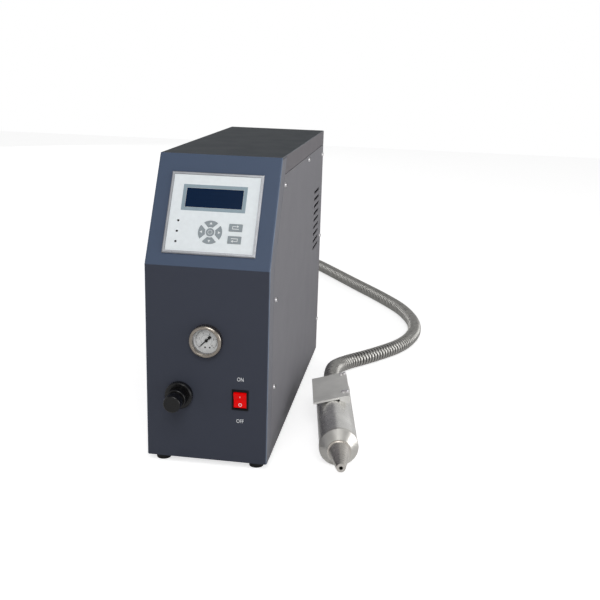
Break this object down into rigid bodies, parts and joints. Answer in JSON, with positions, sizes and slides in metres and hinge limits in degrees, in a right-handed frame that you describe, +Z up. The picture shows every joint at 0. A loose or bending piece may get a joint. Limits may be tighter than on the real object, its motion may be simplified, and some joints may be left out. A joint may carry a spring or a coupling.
{
  "type": "plasma cleaner",
  "caption": "Benchtop plasma cleaner: narrow sheet-metal generator cabinet with a leaning key panel, gauge, regulator knob and rocker switch, and a round steel torch on a ribbed metal hose.",
  "frame": {"origin": "on the floor, at the centre of the four feet's screw recesses", "axes": "+X to the right as seen from the front, +Y to the back, +Z up; the front faces -Y and the torch lies to the right"},
  "size_m": [0.5847, 1.2825, 0.423],
  "materials": {
    "front_paint": "fine satin powder coat",
    "cover_paint": "fine satin powder coat",
    "side_paint": "fine satin powder coat",
    "frame_paint": "dip coat",
    "zinc_steel": "zinc plated",
    "foot_rubber": "matte",
    "steel_screws": "bright",
    "bezel_silver": "satin",
    "overlay_film": "matte film",
    "lcd_window": "clear, dark blue display behind",
    "lcd_module": "matte",
    "circuit_board": "solder resist",
    "lamp_lens": "unlit",
    "key_grey": "satin",
    "gauge_steel": "satin",
    "gauge_chrome": "polished",
    "dial_white": "printed",
    "needle_black": "matte",
    "gauge_glass": "clear",
    "die_cast": "cast",
    "nut_black": "gloss",
    "knob_black": "gloss",
    "switch_black": "satin",
    "rocker_red": "gloss",
    "core_iron": "laminated",
    "winding_wrap": "tape",
    "board_parts": "satin",
    "brass_body": "machined",
    "coil_black": "moulded",
    "tube_blue": "polyurethane",
    "fan_black": "moulded",
    "guard_wire": "bright",
    "brass_nickel": "nickel plated",
    "hose_steel": "stripwound, bare",
    "torch_steel": "turned and brushed",
    "nozzle_steel": "turned",
    "electrode_metal": "turned",
    "ceramic_white": "glazed ceramic"
  },
  "bodies": {
    "unit": {"front_panel": "front_paint", "top_cover": "cover_paint", "left_side_panel": "side_paint", "right_side_panel": "side_paint", "rear_panel": "side_paint", "base_pan": "zinc_steel", "chassis_frame": "frame_paint", "feet": "foot_rubber", "foot_screws": "steel_screws", "panel_screws": "steel_screws", "display_bezel": "bezel_silver", "membrane_overlay": "overlay_film", "display_window": "lcd_window", "display_module": "lcd_module", "control_board": "circuit_board", "status_lamps": "lamp_lens", "gauge_case": "gauge_steel", "gauge_bezel": "gauge_chrome", "gauge_dial": "dial_white", "gauge_lens": "gauge_glass", "regulator_body": "die_cast", "regulator_bonnet": "nut_black", "regulator_panel_nut": "nut_black", "switch_housing": "switch_black", "transformer_core": "core_iron", "transformer_winding": "winding_wrap", "power_board": "circuit_board", "power_components": "board_parts", "solenoid_body": "brass_body", "solenoid_coil": "coil_black", "air_tube_supply": "tube_blue", "air_tube_outlet": "tube_blue", "air_tube_gauge": "tube_blue", "fan_frame": "fan_black", "fan_guard": "guard_wire", "power_inlet": "switch_black", "air_inlet_fitting": "brass_nickel", "hose_gland": "brass_nickel", "hose": "hose_steel", "torch_barrel": "torch_steel", "torch_front_cap": "torch_steel", "torch_nozzle": "nozzle_steel", "torch_electrode": "electrode_metal", "torch_insulator": "ceramic_white", "torch_rear_cap": "torch_steel", "torch_plate": "torch_steel", "torch_plate_screws": "steel_screws"},
    "rocker": {"switch_rocker": "rocker_red"},
    "spindle": {"regulator_spindle": "steel_screws"},
    "knob": {"regulator_knob": "knob_black"},
    "needle": {"gauge_needle": "needle_black"},
    "fan": {"fan_rotor": "fan_black"},
    "plunger": {"solenoid_plunger": "steel_screws"},
    "key_up": {"key_up": "key_grey"},
    "key_down": {"key_down": "key_grey"},
    "key_left": {"key_left": "key_grey"},
    "key_right": {"key_right": "key_grey"},
    "key_enter": {"key_enter": "key_grey"},
    "key_menu": {"key_menu": "key_grey"},
    "key_back": {"key_back": "key_grey"}
  },
  "joints": [
    {"name": "power_switch", "type": "hinge", "parent": "unit", "child": "rocker", "pos_m": [0.047, -0.251, 0.1035], "axis": [-1, 0, 0], "range_deg": [0, 18]},
    {"name": "regulator_turn", "type": "hinge", "parent": "unit", "child": "spindle", "pos_m": [-0.0378, -0.255, 0.1046], "axis": [0, 1, 0], "range_deg": [0, 1440]},
    {"name": "knob_pull", "type": "slide", "parent": "spindle", "child": "knob", "axis": [0, -1, 0], "range_m": [0, 0.003]},
    {"name": "gauge_sweep", "type": "hinge", "parent": "unit", "child": "needle", "pos_m": [0, -0.255, 0.1853], "axis": [0, 1, 0], "range_deg": [0, 270], "stiffness_Nm_per_rad": 0.00002},
    {"name": "fan_spin", "type": "hinge", "parent": "unit", "child": "fan", "pos_m": [0, 0.241, 0.329], "axis": [0, 1, 0], "continuous": true},
    {"name": "valve_stroke", "type": "slide", "parent": "unit", "child": "plunger", "axis": [0, 0, 1], "range_m": [0, 0.002], "stiffness_N_per_m": 600},
    {"name": "key_up_press", "type": "slide", "parent": "unit", "child": "key_up", "axis": [0, 0.8706, -0.4921], "range_m": [0, 0.0004], "stiffness_N_per_m": 900},
    {"name": "key_down_press", "type": "slide", "parent": "unit", "child": "key_down", "axis": [0, 0.8706, -0.4921], "range_m": [0, 0.0004], "stiffness_N_per_m": 900},
    {"name": "key_left_press", "type": "slide", "parent": "unit", "child": "key_left", "axis": [0, 0.8706, -0.4921], "range_m": [0, 0.0004], "stiffness_N_per_m": 900},
    {"name": "key_right_press", "type": "slide", "parent": "unit", "child": "key_right", "axis": [0, 0.8706, -0.4921], "range_m": [0, 0.0004], "stiffness_N_per_m": 900},
    {"name": "key_enter_press", "type": "slide", "parent": "unit", "child": "key_enter", "axis": [0, 0.8706, -0.4921], "range_m": [0, 0.0004], "stiffness_N_per_m": 900},
    {"name": "key_menu_press", "type": "slide", "parent": "unit", "child": "key_menu", "axis": [0, 0.8706, -0.4921], "range_m": [0, 0.0004], "stiffness_N_per_m": 900},
    {"name": "key_back_press", "type": "slide", "parent": "unit", "child": "key_back", "axis": [0, 0.8706, -0.4921], "range_m": [0, 0.0004], "stiffness_N_per_m": 900}
  ]
}
